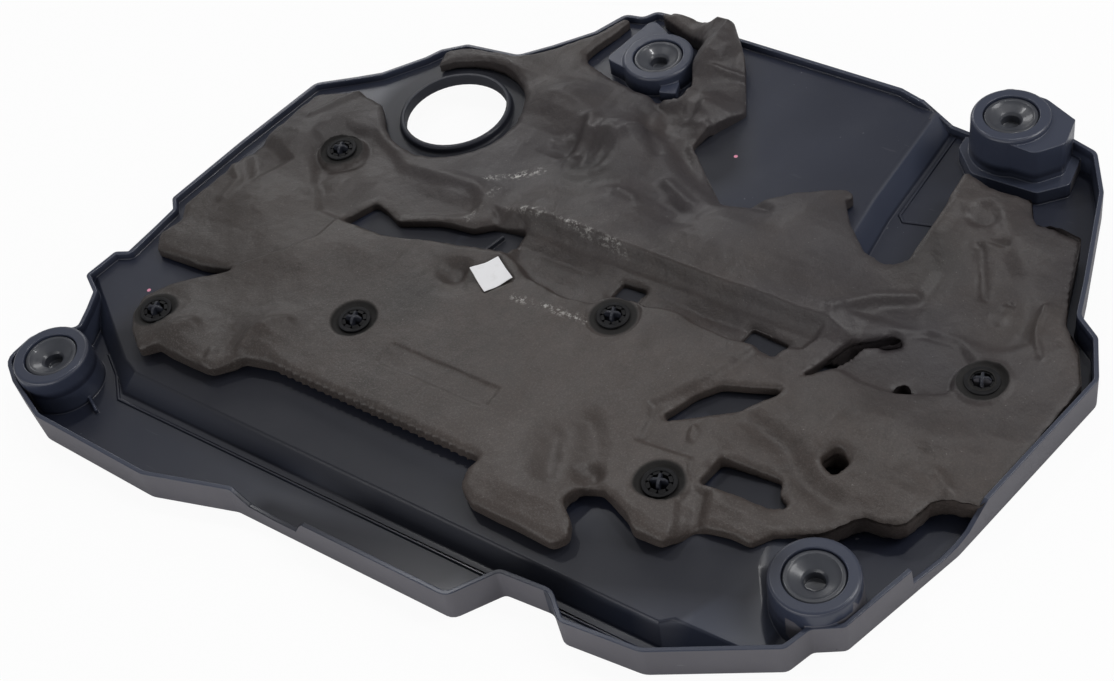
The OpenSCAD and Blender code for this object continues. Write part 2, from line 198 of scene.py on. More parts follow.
shellPlastic = {
    "deep": (0.0150, 0.0182, 0.0325, 1), "worn": (0.0225, 0.0264, 0.0450, 1),
    "paintedLight": (0.0410, 0.0490, 0.0780, 1), "paintedShade": (0.0062, 0.0072, 0.0135, 1),
    "dust": (0.22, 0.22, 0.24, 1), "paint": (0.80, 0.30, 0.42, 1),
    "patches": (8, 4, 0.40, 0.30), "specks": (380, 1, 0.765, 0.015), "speckAreas": (14, 2, 0.50, 0.10),
    "scratches": (55, 2, 0.70, 0.05), "stretch": (1, 9, 9), "smears": (28, 5, 0.56, 0.20, 0.6),
    # how much of each shows
    "shows": {"specks": 0.45, "scratches": 0.08, "smears": 0.03, "paintedLight": 0.85, "paintedShade": 0.85,
              "cornerHighlight": 0.35},
    "rough": (0.27, 0.17, 30, 4), "marksRough": 0.2, "shadeRough": 0.3,
    "bumps": [(2200, 1, 0.00006, 0.4), (26, 3, 0.0006, 0.10)],
    "coat": 0.22, "coatRough": 0.20, "ior": 1.45,
    # heights in millimetres: the slopes of the step from and to, and the tops of the bosses, which get
    # painted light
    "slopes": (3.5, 14.0, 1.0), "tops": (16.5, 3.0),
    "dots": [(-226, -111, 15.6), (24, 121, 15.6)], "dotRadius": 1.2, "dotEdge": 0.1,
    "cornerHighlight": ((147, -156), 2, 13),  # painted highlight on the corner of the step: place, full radius and soft rim
    # places with painted shade: x, y and reach in millimetres, of which a share is the soft rim
    "shadeAreas": [(-148, 84, 58), (-112, -9, 34), (-62, 2, 22), (28, 2, 14), (110, 3, 16), (122, -30, 24),
             (160, 14, 16), (178, -48, 12), (150, -79, 22)],
    "shadePin": 9, "shadeRim": 0.2,
    # and strips of painted shade beside the foam: two ends and a half width
    "shadeStrips": [((-205, -145), (30, -155), 34), ((60, -165), (170, -120), 30), ((96, -46), (160, 20), 13),
               ((-70, -196), (30, -184), 14), ((0, 140), (18, 108), 26)],
    "shadeStripStrength": 1.6,
}


def makeShellPlastic():
    values = shellPlastic
    shows = values["shows"]
    r = Recipe("shellPlastic")
    x, y, z = r.axes()
    specks = r.pattern(*values["specks"]) * r.pattern(*values["speckAreas"]) * shows["specks"]
    scratches = r.pattern(*values["scratches"], place=r.stretched(values["stretch"])) * shows["scratches"]
    marks = (specks + scratches + r.pattern(*values["smears"]) * shows["smears"]).clamped()
    colour = r.mix(r.pattern(*values["patches"]), values["deep"], values["worn"])
    colour = r.mix(marks, colour, values["dust"])
    low, high, soft = values["slopes"]
    slopes = past(z, low, soft) - past(z, high, soft)
    # painted light: the slopes of the step and the tops of the bosses are made lighter
    colour = r.mix((slopes + past(z, *values["tops"])) * shows["paintedLight"], colour, values["paintedLight"])
    # painted shade: the shell is darkened in round spots, round the pins and in strips beside the foam, and
    # is made rougher there
    rim = values["shadeRim"]
    spots = values["shadeAreas"] + [(*pin, values["shadePin"]) for pin in pinPlaces]
    shadeAreas = sum(nearSpot(x, y, spot, spot[2] * (1 - rim), spot[2] * rim) for spot in spots)
    shadeAreas = shadeAreas + sum(nearLine(x, y, *strip) * values["shadeStripStrength"] for strip in values["shadeStrips"])
    shadeAreas = shadeAreas.clamped()
    colour = r.mix(shadeAreas * shows["paintedShade"], colour, values["paintedShade"])
    # painted highlight on the corner of the step, in the pale dust colour
    cornerHighlight = nearSpot(x, y, *values["cornerHighlight"]) * slopes
    colour = r.mix(cornerHighlight * shows["cornerHighlight"], colour, values["dust"])
    for dot in values["dots"]:
        middle = tuple(value * mm for value in dot)
        away = r.node("ShaderNodeVectorMath", {"operation": "DISTANCE"}, "Value", {0: r.place, 1: middle})
        inside = (values["dotRadius"] * mm - away).above(0, values["dotEdge"] * mm)
        colour = r.mix(inside, colour, values["paint"])
    rough = r.uneven(*values["rough"]) + marks * values["marksRough"] + shadeAreas * values["shadeRough"]
    return r.finish(Base_Color=colour, Roughness=rough, Normal=r.bumps(values["bumps"]), IOR=values["ior"],
                    Coat_Weight=values["coat"], Coat_Roughness=values["coatRough"])


# the show side's plastic: its colours are made light as a painted reflection of the white floor
showPlastic = {
    "deep": (0.104, 0.101, 0.116, 1), "pale": (0.132, 0.128, 0.145, 1), "scratch": (0.25, 0.25, 0.26, 1),
    "patches": (11, 4, 0.42, 0.30), "scratches": (50, 2, 0.72, 0.04), "stretch": (1, 1, 6),
    "scratchShows": 0.25, "rough": (0.46, 0.12, 40, 3), "bumps": [(1500, 2, 0.0001, 0.5)],
}


def makeShowPlastic():
    values = showPlastic
    r = Recipe("showPlastic")
    scratches = r.pattern(*values["scratches"], place=r.stretched(values["stretch"]))
    colour = r.mix(r.pattern(*values["patches"]), values["deep"], values["pale"])
    colour = r.mix(scratches * values["scratchShows"], colour, values["scratch"])
    return r.finish(Base_Color=colour, Roughness=r.uneven(*values["rough"]), Normal=r.bumps(values["bumps"]))


acousticFoam = {
    "light": (0.062, 0.0485, 0.0432, 1), "dark": (0.0255, 0.0203, 0.0186, 1),
    # foamShade is the colour of painted shade
    "cool": (0.0335, 0.0295, 0.0340, 1), "foamShade": (0.008, 0.0075, 0.0072, 1), "dust": (0.46, 0.45, 0.43, 1),
    # what makes the foam light, each with its share
    "tones": [((13, 5, 0.36, 0.28), 0.38), ((110, 4, 0.36, 0.28, 0.6), 0.24),
              ((800, 3, 0.38, 0.24, 0.7), 0.38)],
    # shades across the pad, a cooler back, painted shade to the left and painted light at the front right:
    # where each starts and how wide it is, in millimetres, and how much it shows
    "coolBack": ((-30, 60), 0.8), "coolPatches": (9, 3, 0.30, 0.30),
    "paintedShadeLeft": ((-210, 170), 0.55),
    "paintedLightFront": ((-130, 100), (-50, 80), 0.4),
    "shadeSpots": [(-73, -56, 24), (-38, 67, 26), (158, 93, 30)],  # painted shade in round spots: x, y and reach in millimetres
    "shadeSpotRim": 0.7, "shadeSpotShows": 0.45,
    # chalky scuffs, as lines with a half width in millimetres
    "scuffs": [((-66, 24), (-42, 24), 3.4), ((-42, 24), (24, 21), 3.0), ((-92, 40), (-77, 49), 3.2),
               ((-77, 49), (-64, 61), 4.2), ((-84, 9), (-79, 35), 3.4), ((-22, -32), (24, -28), 3.6)],
    "wisps": (420, 5, 0.50, 0.10, 0.7), "scuffAreas": (70, 4, 0.40, 0.16), "scuffShows": 0.9,
    # thin chalk round the crease: middle and reach on x and on y, then its areas and its grains
    "chalkX": (-20, 90), "chalkY": (24, 34), "chalkAreas": (45, 5, 0.50, 0.20),
    "chalkGrains": (950, 2, 0.58, 0.08), "chalkShows": (0.06, 0.22),
    "specks": (820, 1, 0.76, 0.03), "specksShow": 0.2,
    # pale threads, more of them towards the front
    "threads": (1150, 2, 0.54, 0.07, 0.65), "threadsFront": (-20, -100), "threadsShow": (0.025, 0.035),
    # painted shade round the pins, in their pockets: radius and soft rim in millimetres, and how much it
    # shows
    "pinShadeRadius": 12.2, "pinShadeRim": 1.6, "pinShadeShows": 0.93,
    "rough": (0.40, 0.18, 40, 3), "dustRough": 0.2, "pinShadeRough": 0.4,
    "bumps": [(1500, 2, 0.00016, 0.75), (330, 4, 0.0005, 0.60), (95, 4, 0.0012, 0.40)],
}


def foamDust(r, x, y):  # chalk round the crease, scuffs along it and loose specks
    values = acousticFoam
    least, more = values["chalkShows"]
    chalk = around(y, *values["chalkY"]) * around(x, *values["chalkX"]) * r.pattern(*values["chalkAreas"])
    chalk = chalk * (least + r.pattern(*values["chalkGrains"]) * more)
    ragged = r.pattern(*values["wisps"]) * r.pattern(*values["scuffAreas"]) * values["scuffShows"]
    scuffs = sum(nearLine(x, y, *scuff) * ragged for scuff in values["scuffs"])
    return chalk + scuffs + r.pattern(*values["specks"]) * values["specksShow"]


def makeAcousticFoam():
    values = acousticFoam
    r = Recipe("acousticFoam")
    x, y = r.axes()[:2]
    lightness = sum(r.pattern(*pattern) * share for pattern, share in values["tones"])
    colour = r.mix(lightness, values["dark"], values["light"])
    back, shows = values["coolBack"]
    colour = r.mix(past(y, *back) * r.pattern(*values["coolPatches"]) * shows, colour, values["cool"])
    # painted shade: the foam is darker towards the left
    left, shows = values["paintedShadeLeft"]
    colour = r.mix((1 - past(x, *left)) * shows, colour, values["dark"])
    # painted light: the foam is lighter at the front right
    front, right, shows = values["paintedLightFront"]
    colour = r.mix((1 - past(y, *front)) * past(x, *right) * shows, colour, values["light"])
    # painted shade in round spots on the foam
    rim = values["shadeSpotRim"]
    for shadeSpot in values["shadeSpots"]:
        spot = nearSpot(x, y, shadeSpot, shadeSpot[2] * (1 - rim), shadeSpot[2] * rim)
        colour = r.mix(spot * values["shadeSpotShows"], colour, values["foamShade"])
    dust = foamDust(r, x, y)
    colour = r.mix(dust.clamped(), colour, values["dust"])
    few, more = values["threadsShow"]
    threads = r.pattern(*values["threads"]) * (few + past(y, *values["threadsFront"]) * more)
    colour = r.mix(threads, colour, values["dust"])
    # painted shade round the pins, where their pockets lie in shade; the foam is also made rougher there
    foamShade = sum(nearSpot(x, y, pin, values["pinShadeRadius"], values["pinShadeRim"]) for pin in pinPlaces)
    foamShade = foamShade * values["pinShadeShows"]
    colour = r.mix(foamShade, colour, values["foamShade"])
    rough = r.uneven(*values["rough"]) + dust * values["dustRough"] + foamShade * values["pinShadeRough"]
    return r.finish(Base_Color=colour, Roughness=rough.clamped(), Normal=r.bumps(values["bumps"]))


socketRubber = {
    "dark": (0.034, 0.037, 0.047, 1), "light": (0.048, 0.052, 0.064, 1), "patches": (60, 4, 0.40, 0.30),
    "rough": (0.30, 0.16, 90, 3), "bumps": [(1800, 2, 0.00005, 0.4)], "coat": 0.3, "coatRough": 0.13,
}


def makeSocketRubber():
    values = socketRubber
    r = Recipe("socketRubber")
    colour = r.mix(r.pattern(*values["patches"]), values["dark"], values["light"])
    return r.finish(Base_Color=colour, Roughness=r.uneven(*values["rough"]), Normal=r.bumps(values["bumps"]),
                    Coat_Weight=values["coat"], Coat_Roughness=values["coatRough"])


washerPlastic = {
    "dark": (0.005, 0.005, 0.006, 1), "light": (0.010, 0.010, 0.012, 1), "patches": (200, 3, 0.45, 0.25),
    "rough": (0.52, 0.16, 150, 2), "bumps": [(2200, 1, 0.00004, 0.35)], "ior": 1.3,
}


def makeWasherPlastic():
    values = washerPlastic
    r = Recipe("washerPlastic")
    colour = r.mix(r.pattern(*values["patches"]), values["dark"], values["light"])
    return r.finish(Base_Color=colour, Roughness=r.uneven(*values["rough"]), Normal=r.bumps(values["bumps"]),
                    IOR=values["ior"])


labelPaper = {
    "white": (0.88, 0.88, 0.90, 1), "soil": (0.62, 0.61, 0.60, 1), "soiled": (160, 5, 0.56, 0.22),
    "soilShows": 0.4, "rough": (0.7, 0.1, 80, 2), "bumps": [(500, 3, 0.00012, 0.4)],
}


def makeLabelPaper():
    values = labelPaper
    r = Recipe("labelPaper")
    colour = r.mix(r.pattern(*values["soiled"]) * values["soilShows"], values["white"], values["soil"])
    return r.finish(Base_Color=colour, Roughness=r.uneven(*values["rough"]), Normal=r.bumps(values["bumps"]))


finishes = {
    "shell": makeShellPlastic(),
    "show": makeShowPlastic(),
    "foam": makeAcousticFoam(),
    "rubber": makeSocketRubber(),
    "washer": makeWasherPlastic(),
    "paper": makeLabelPaper(),
}
print("finishes made")


# Camera, floor and light. The camera is in millimetres and degrees, the floor and the lamps are in metres.

view = {
    "place": (452.0, -491.4, 697.3), "target": (-0.7, -29.4, 0.0), "roll": 13.90, "lens": 57.33,
    "sensor": 36, "nearest": 10, "farthest": 50000,
}
floorValues = {
    "side": 12, "drop": 0.0002, "colour": (0.86, 0.86, 0.87, 1),
    "white": (1, 1, 1, 1), "whiteness": 0.94,  # what the camera sees instead, and how much of it
}
lightValues = {
    "roomColour": (1, 1, 1, 1), "room": 0.30,  # the camera sees the room at strength 1
    "lamps": {  # place, sides and power
        "backSoftbox": ((-1.2, 1.1, 0.85), (0.6, 0.5), 4.2),
        "rightSoftbox": ((1.0, 0.60, 1.1), (0.6, 0.6), 7.5),
        "leftSpot": ((-0.75, 0.35, 1.5), (0.10, 0.10), 3.0),
        "rightSpot": ((0.15, 0.60, 1.6), (0.10, 0.10), 3.0),
        "lowFill": ((0.0, -1.60, 0.46), (2.2, 0.35), 9),
    },
}


def placeCamera():
    data = bpy.data.cameras.new("camera")
    camera = bpy.data.objects.new("camera", data)
    bpy.context.scene.collection.objects.link(camera)
    place = Vector(view["place"]) * mm
    ahead = Vector(view["target"]) * mm - place
    turn = ahead.to_track_quat("-Z", "Y").to_matrix() @ Matrix.Rotation(math.radians(-view["roll"]), 3, "Z")
    camera.matrix_world = Matrix.Translation(place) @ turn.to_4x4()
    data.lens = view["lens"]
    data.sensor_width = view["sensor"]
    data.clip_start = view["nearest"] * mm
    data.clip_end = view["farthest"] * mm
    bpy.context.scene.camera = camera


def makeFloor():
    bpy.ops.mesh.primitive_plane_add(size=floorValues["side"], location=(0, 0, -floorValues["drop"]))
    floor = bpy.context.object
    floor.name = "floor"
    r = Recipe("paleFloor")
    seen = r.node("ShaderNodeLightPath", out="Is Camera Ray")
    plain = r.node("ShaderNodeBsdfDiffuse", Color=floorValues["colour"])
    white = r.node("ShaderNodeEmission", Color=floorValues["white"], Strength=1.0)
    both = r.node("ShaderNodeMixShader", at={0: seen * floorValues["whiteness"], 1: plain, 2: white})
    plug(r.tree, r.tree.nodes["Material Output"].inputs["Surface"], both)
    floor.data.materials.append(r.material)


def addLamp(name, place, sides, power):
    data = bpy.data.lights.new(name, "AREA")
    data.shape = "RECTANGLE"
    data.size, data.size_y = sides
    data.energy = power
    lamp = bpy.data.objects.new(name, data)
    lamp.location = place
    lamp.rotation_mode = "QUATERNION"
    lamp.rotation_quaternion = (-Vector(place)).to_track_quat("-Z", "Y")
    bpy.context.scene.collection.objects.link(lamp)


def lightScene():
    world = bpy.data.worlds.new("studio")
    bpy.context.scene.world = world
    world.use_nodes = True
    tree = world.node_tree
    ground = tree.nodes["Background"]
    seen = addNode(tree, "ShaderNodeLightPath", out="Is Camera Ray")
    plug(tree, ground.inputs["Color"], lightValues["roomColour"])
    plug(tree, ground.inputs["Strength"], lightValues["room"] + seen * (1 - lightValues["room"]))
    for name, lamp in lightValues["lamps"].items():
        addLamp(name, *lamp)
    bpy.context.scene.view_settings.view_transform = "Standard"


placeCamera()
makeFloor()
lightScene()
print("camera, floor and light placed")


# Meshes

cornerGap = 0.005 * mm  # corners of a CAD node that lie closer than this are one


def newPiece(name, mesh, finish):
    piece = bpy.data.objects.new(name, mesh)
    bpy.context.scene.collection.objects.link(piece)
    mesh.materials.clear()
    mesh.materials.append(finishes[finish])
    return piece


def rework(mesh, change):
    work = bmesh.new()
    work.from_mesh(mesh)
    change(work)
    work.to_mesh(mesh)
    work.free()


def mergeCorners(work):
    bmesh.ops.remove_doubles(work, verts=work.verts, dist=cornerGap)


def faceOutwards(work):
    bmesh.ops.recalc_face_normals(work, faces=work.faces)


def mergedCopy(node, name):
    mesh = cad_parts[node].data.copy()
    mesh.name = name
    rework(mesh, mergeCorners)
    return mesh


def addModifier(piece, kind, **settings):
    modifier = piece.modifiers.new(kind.lower(), kind)
    for key, value in settings.items():
        setattr(modifier, key, value)
    return modifier


def keepModifiers(piece):  # what the modifiers make becomes the mesh
    bpy.context.view_layer.update()
    made = bpy.data.meshes.new_from_object(piece.evaluated_get(bpy.context.evaluated_depsgraph_get()))
    piece.modifiers.clear()
    piece.data = made


def shadeSmooth(piece, sharp):  # edges that turn more than sharp, in degrees, stay sharp
    piece.data.shade_smooth()
    piece.data.set_sharp_from_angle(angle=math.radians(sharp))


def seat(piece, slotName, *nodes):
    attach(piece, "root")
    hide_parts(*nodes)


# Shell

shellValues = {
    "flat": 1.0,  # faces that turn less than this, in degrees, become one
    "sharp": 26,  # edges that turn more than this, in degrees, are rounded
    "bevel": 2.4 * mm, "segments": 4,  # on the long convex edges at the top of the step
    "stepTop": 15.5 * mm, "slack": 0.1 * mm, "long": 15 * mm,
    "fine": 0.24,  # share of the bevel on every other edge
    "flatWeight": 80,  # how much large faces decide the shading
    # show finish: under side, and the skirt's outer face, found by its reach along spokes from the middle
    "underSide": -0.6, "skirt": 12 * mm, "rim": 20.5 * mm, "upright": 0.4, "outwards": 0.15,
    "spokes": 720, "spread": 5,
}


def finishShowSide(mesh):
    mesh.materials.append(finishes["show"])
    spokes = shellValues["spokes"]
    spread = range(-shellValues["spread"], shellValues["spread"] + 1)
    reach = np.zeros(spokes)

    def spokeOf(place):
        return int((math.atan2(place.y, place.x) / math.tau % 1) * spokes) % spokes

    for vertex in mesh.vertices:
        spoke = spokeOf(vertex.co)
        reach[spoke] = max(reach[spoke], vertex.co.xy.length)
    for face in mesh.polygons:
        spoke = spokeOf(face.center)
        outermost = max(reach[(spoke + step) % spokes] for step in spread)
        onSkirt = face.center.xy.length > outermost - shellValues["skirt"]
        upright = face.normal.z < shellValues["upright"] and face.center.z < shellValues["rim"]
        outwards = face.normal.xy.dot(face.center.xy.normalized()) > shellValues["outwards"]
        if face.normal.z < shellValues["underSide"] or (onSkirt and upright and outwards):
            face.material_index = 1


def weighEdges(work):  # how much of the bevel each edge gets
    flat = math.radians(shellValues["flat"])
    sharp = math.radians(shellValues["sharp"])
    bmesh.ops.dissolve_limit(work, angle_limit=flat, verts=work.verts, edges=work.edges)
    weight = work.edges.layers.float.new("bevel_weight_edge")
    for edge in work.edges:
        if len(edge.link_faces) == 2 and edge.calc_face_angle() > sharp:
            away = max(abs(vertex.co.z - shellValues["stepTop"]) for vertex in edge.verts)
            atStep = away < shellValues["slack"] and edge.is_convex
            isLong = edge.calc_length() > shellValues["long"]
            edge[weight] = 1.0 if atStep and isLong else shellValues["fine"]


def buildShell():
    mesh = mergedCopy("shell", "shellBody")
    rework(mesh, weighEdges)
    piece = newPiece("shellBody", mesh, "shell")
    addModifier(piece, "BEVEL", width=shellValues["bevel"], segments=shellValues["segments"],
                limit_method="WEIGHT", use_clamp_overlap=False)
    keepModifiers(piece)
    finishShowSide(piece.data)
    shadeSmooth(piece, shellValues["sharp"])
    addModifier(piece, "WEIGHTED_NORMAL", keep_sharp=True, weight=shellValues["flatWeight"])
    keepModifiers(piece)
    seat(piece, "shell_plastic", "shell")


buildShell()
print("shell built")


# Foam pad, with places, widths and heights in millimetres

foamValues = {
    "voxel": 1.15, "smoothing": 0.5, "rounds": 1,
    "top": (14, 22),  # heights between which the relief fades in
    "lip": (1.8, 6.0, 5.5),  # drop of the rim, how far in it starts, lift of its under side
    "grid": (1.8, 9, 1.41),  # cell and steps of the search for the rim, and a step across a corner
    "teeth": (-112, 20, -121, 5.2, 1.0),  # toothed front edge: from, to, behind, spacing, depth
    "bend": (17, 1.6, (21, 22)),  # size of the waves that bend the outlines, their height and their seeds
    "lumps": [(0.8, 31, 4), (0.45, 13, 5), (0.16, 5.2, 6)],  # height, size, seed
    "level": 3.4,  # the whole top lies this much lower
    # seats that keep their height: a radius, and the slope round it
    "seats": {"label": 13, "washer_left": 10, "washer_back": 11, "washer_inner": 11, "washer_middle": 13,
              "washer_front": 11, "washer_right": 11},
    "seatSlope": 5,
    # flat-topped rises and basins: height, soft edge, then the outline
    "patches": {
        "pinBasin": (-3.0, 4.5, [
            (-196, 7), (-202, 16), (-208, 28), (-201, 44), (-178, 44), (-160, 35), (-143, 28),
            (-122, 26), (-97, 31), (-84, 23), (-84, 13), (-124, -9), (-142, 1), (-154, -22),
            (-168, -22),
        ]),
        "wingDent": (-3.5, 4.0, [
            (-248, 3), (-221, -19), (-210, 3), (-228, 9), (-244, 12),
        ]),
        "frontPlateau": (3.4, 2.4, [
            (-239, -117), (-180, -78), (-164, -62), (-151, -42), (-152, -23), (-120, -25),
            (-86, -13), (-51, -4), (-41, -7), (-24, -14), (-8, -19), (4, -19), (16, -16), (29, -7),
            (46, -5), (65, -2), (82, -4), (95, -5), (111, -3), (96, -38), (82, -62), (89, -82),
            (117, -81), (146, -155), (99, -168), (-40, -153), (-191, -176),
        ]),
        "lowerTerrace": (-3.2, 2.6, [
            (-71, 20), (135, 20), (129, 6), (110, -2), (95, -5), (82, -3), (65, -2), (47, -4),
            (29, -7), (16, -16), (4, -19), (-8, -19), (-24, -14), (-41, -7), (-45, 2), (-62, 9),
        ]),
        "rightTerrace": (-4.0, 3.0, [
            (152, 2), (167, -1), (179, 1), (193, 7), (204, 15), (209, 24), (208, 39), (196, 47),
            (180, 47), (170, 39), (163, 26), (153, 12),
        ]),
        "rightLower": (-3.0, 4.5, [
            (154, 110), (164, 85), (165, 68), (151, 50), (142, 35), (166, 41), (195, 48),
            (215, 51), (227, 60), (220, 82), (179, 129), (156, 131),
        ]),
        "sideSlope": (-7.0, 7.0, [
            (-37, 135), (-25, 112), (15, 88), (39, 77), (65, 83), (43, 89), (16, 103), (-1, 114),
            (-5, 132), (-21, 147),
        ]),
        "lobeLow": (-4.5, 4.0, [
            (-25, 161), (-10, 189), (17, 154), (5, 132), (-13, 134),
        ]),
    },
    # folds and grooves: height, half width, then the line
    "folds": {
        "creaseRight": (3.0, 3.0, [(135, 28), (148, 49), (163, 65)]),
        "dimpleFold": (4.0, 4.5, [(-62, 105), (-57, 89), (-54, 72)]),
        "dimpleSide": (4.0, 4.0, [(-30, 97), (-27, 108)]),
        "holeSide": (3.0, 4.0, [(-72, 82), (-67, 87)]),
        "slopeFold": (4.0, 4.5, [(8, 76), (25, 67)]),
        "slopeKnob": (3.5, 4.0, [(-9, 53), (-1, 54)]),
        "frontArc": (2.4, 3.2, [(-134, -128), (-134, -117), (-124, -103)]),
        "leftKnob": (3.0, 4.5, [(-175, -134), (-171, -127)]),
        "leftArc": (2.0, 3.0, [(-153, -151), (-147, -143), (-148, -137)]),
        "sideRidge": (2.2, 1.8, [(224, 83), (230, 61), (235, 53)]),
        "bossGroove": (-2.6, 3.0, [(178, 109), (194, 83)]),
        "bossLine": (-1.6, 1.6, [(182, 114), (190, 115)]),
        "wingEdge": (2.0, 2.5, [(-212, 68), (-222, 38)]),
        "wingLine": (1.6, 3.0, [(-243, -14), (-228, -24), (-228, -40)]),
        "lobeCrease": (2.6, 2.0, [(-18, 167), (-1, 176)]),
        "saddleValley": (-3.5, 4.0, [(-40, 138), (-38, 126), (-30, 112), (-14, 98)]),
        "holeFold": (2.2, 1.8, [(109, -63), (111, -70)]),
        "rightValley": (-3.0, 6.0, [(131, -47), (153, -53), (167, -63), (186, -69)]),
        "tipSide": (-4.0, 4.0, [(133, -96), (140, -120)]),
        "rightKnob": (3.0, 3.5, [(222, -32), (229, -38)]),
        "plateauFold": (1.6, 5.0, [(-8, 138), (-12, 112)]),
        "frontValley": (-2.5, 6.0, [(50, -99), (60, -120)]),
        "midValley": (-3.0, 7.0, [(79, -110), (72, -96), (60, -84)]),
        "paleBulge": (2.4, 9.0, [(214, -14), (236, -4)]),
    },
    # round pits: height, radius, place
    "pits": {
        "bigDimple": (-6.5, 13.0, (-44, 78)),
        "softDimple": (-2.6, 8.0, (-65, -28)),
        "bossHollow": (-4.0, 8.0, (170, 131)),
        "deepPit": (-2.5, 1.6, (207, 83)),
        "pinLeft": (-1.5, 15.0, (-200, -127)),
        "pinBack": (-2.5, 16.0, (-190, 22)),
        "pinMiddle": (-1.5, 17.0, (33, -19)),
        "frontPit": (-3.0, 7.0, (79, -112)),
    },
    "pitRim": 1.4,  # a pit starts at this share of its radius, and has its depth a radius further in
}


def eased(t):
    t = np.clip(t, 0, 1)
    return t * t * (3 - 2 * t)


def blended(grid, cell, part):  # what a grid holds between the four corners of a cell
    i, j = cell.T
    u, v = part.T
    return ((grid[i, j] * (1 - u) + grid[i + 1, j] * u) * (1 - v)
            + (grid[i, j + 1] * (1 - u) + grid[i + 1, j + 1] * u) * v)


def wander(points, size, seed):  # smooth random field from -1 to 1
    low = points.min(axis=0) - size
    cells = (np.ceil((points.max(axis=0) - low) / size) + 3).astype(int)  # with some to spare
    values = np.random.default_rng(seed).uniform(-1, 1, cells)
    place = (points - low) / size
    cell = place.astype(int)
    return blended(values, cell, eased(place - cell))


def toSpot(points, spot):
    return np.linalg.norm(points - np.array(spot, float), axis=1)


def toSegment(points, a, b):
    along = np.clip(((points - a) @ (b - a)) / max((b - a) @ (b - a), 1e-9), 0, 1)
    return np.linalg.norm(points - a - along[:, None] * (b - a), axis=1)


def toLine(points, line):
    corners = np.array(line, float)
    return np.min([toSegment(points, a, b) for a, b in zip(corners, corners[1:])], axis=0)


def toOutline(points, outline):  # distance from each point to a closed outline, negative inside
    inside = np.zeros(len(points), bool)
    corners = np.array(outline, float)
    for a, b in zip(corners, np.roll(corners, -1, axis=0)):
        crosses = (a[1] > points[:, 1]) != (b[1] > points[:, 1])
        with np.errstate(divide="ignore", invalid="ignore"):
            at = (b[0] - a[0]) * (points[:, 1] - a[1]) / (b[1] - a[1]) + a[0]
        inside ^= crosses & (points[:, 0] < at)
    nearest = toLine(points, outline + outline[:1])
    return np.where(inside, -nearest, nearest)


def toRim(points, places):  # distance from each place to the rim of what the points cover
    cell, steps, corner = foamValues["grid"]
    margin = 3  # empty cells round the foam
    low = points.min(axis=0) - margin * cell
    cells = ((points - low) / cell).astype(int)
    gap = np.zeros(cells.max(axis=0) + margin + 1)
    gap[cells[:, 0], cells[:, 1]] = steps
    for _ in range(steps):
        for axis in (0, 1):
            for way in (-1, 1):
                gap = np.minimum(gap, np.roll(gap, way, axis) + 1)
                gap = np.minimum(gap, np.roll(np.roll(gap, way, 0), way if axis else -way, 1) + corner)
    place = (places - low) / cell - 0.5  # a cell's value holds at its middle
    place = np.clip(place, 0, np.array(gap.shape) - 1.001)  # just inside the last cell
    whole = place.astype(int)
    return blended(gap * cell, whole, place - whole)


def foamRelief(points):  # added height at each place
    height = np.zeros(len(points))
    size, bend, seeds = foamValues["bend"]
    bent = points + np.stack([wander(points, size, seed) for seed in seeds], axis=1) * bend
    for rise, soft, outline in foamValues["patches"].values():
        height += rise * eased(0.5 - toOutline(bent, outline) / (2 * soft))  # half way up on the outline
    for rise, width, line in foamValues["folds"].values():
        height += rise * np.exp(-(toLine(bent, line) / width) ** 2)
    for rise, radius, place in foamValues["pits"].values():
        height += rise * eased(foamValues["pitRim"] - toSpot(points, place) / radius)
    lumps = sum(rise * wander(points, size, seed) for rise, size, seed in foamValues["lumps"])
    height += lumps - foamValues["level"]
    for node, radius in foamValues["seats"].items():
        away = toSpot(points, middleOf(node)[:2] / mm)
        height *= eased((away - radius) / foamValues["seatSlope"])
    return height


def shapeFoam(mesh):
    place = np.empty(len(mesh.vertices) * 3)
    mesh.vertices.foreach_get("co", place)
    place = place.reshape(-1, 3) / mm
    flat = place[:, :2].copy()
    low, high = foamValues["top"]
    share = eased((place[:, 2] - low) / (high - low))
    drop, inset, lift = foamValues["lip"]
    thin = 1 - eased(toRim(flat[share > 0.5], flat) / inset)
    place[:, 2] += (foamRelief(flat) - drop * thin) * share + lift * thin * (1 - share)
    start, end, behind, spacing, depth = foamValues["teeth"]
    toothed = (flat[:, 0] > start) & (flat[:, 0] < end) & (flat[:, 1] < behind)
    place[:, 1] -= toothed * depth * np.maximum(0, np.cos(flat[:, 0] / spacing * math.tau)) ** 2
    mesh.vertices.foreach_set("co", (place * mm).ravel())
    mesh.update()


def buildFoam():
    piece = newPiece("foamPad", mergedCopy("foam_pad", "foamPad"), "foam")
    addModifier(piece, "REMESH", mode="VOXEL", voxel_size=foamValues["voxel"] * mm)
    addModifier(piece, "SMOOTH", factor=foamValues["smoothing"], iterations=foamValues["rounds"])
    keepModifiers(piece)
    shapeFoam(piece.data)
    piece.data.shade_smooth()
    seat(piece, "acoustic_foam", "foam_pad")
    print("foam vertices", len(piece.data.vertices))


buildFoam()
print("foam built")


# Push-on washers: one geometry tree grows a washer on every seat

washerValues = {
    "Outer radius": 9.0 * mm, "Hole radius": 4.9 * mm, "Thickness": 1.2 * mm, "Rim width": 2.3 * mm,
    "Rim segments": 56, "Corner segments": 3, "Corner": 0.3,  # share of the thickness
    "Teeth": 8, "Slot": 1.0 * mm, "Tilt": 0.20,
    "Tooth length": 1.25, "Tooth thickness": 0.75,  # shares of the gap inside the rim and of the thickness
}
washerSharp = 40  # degrees


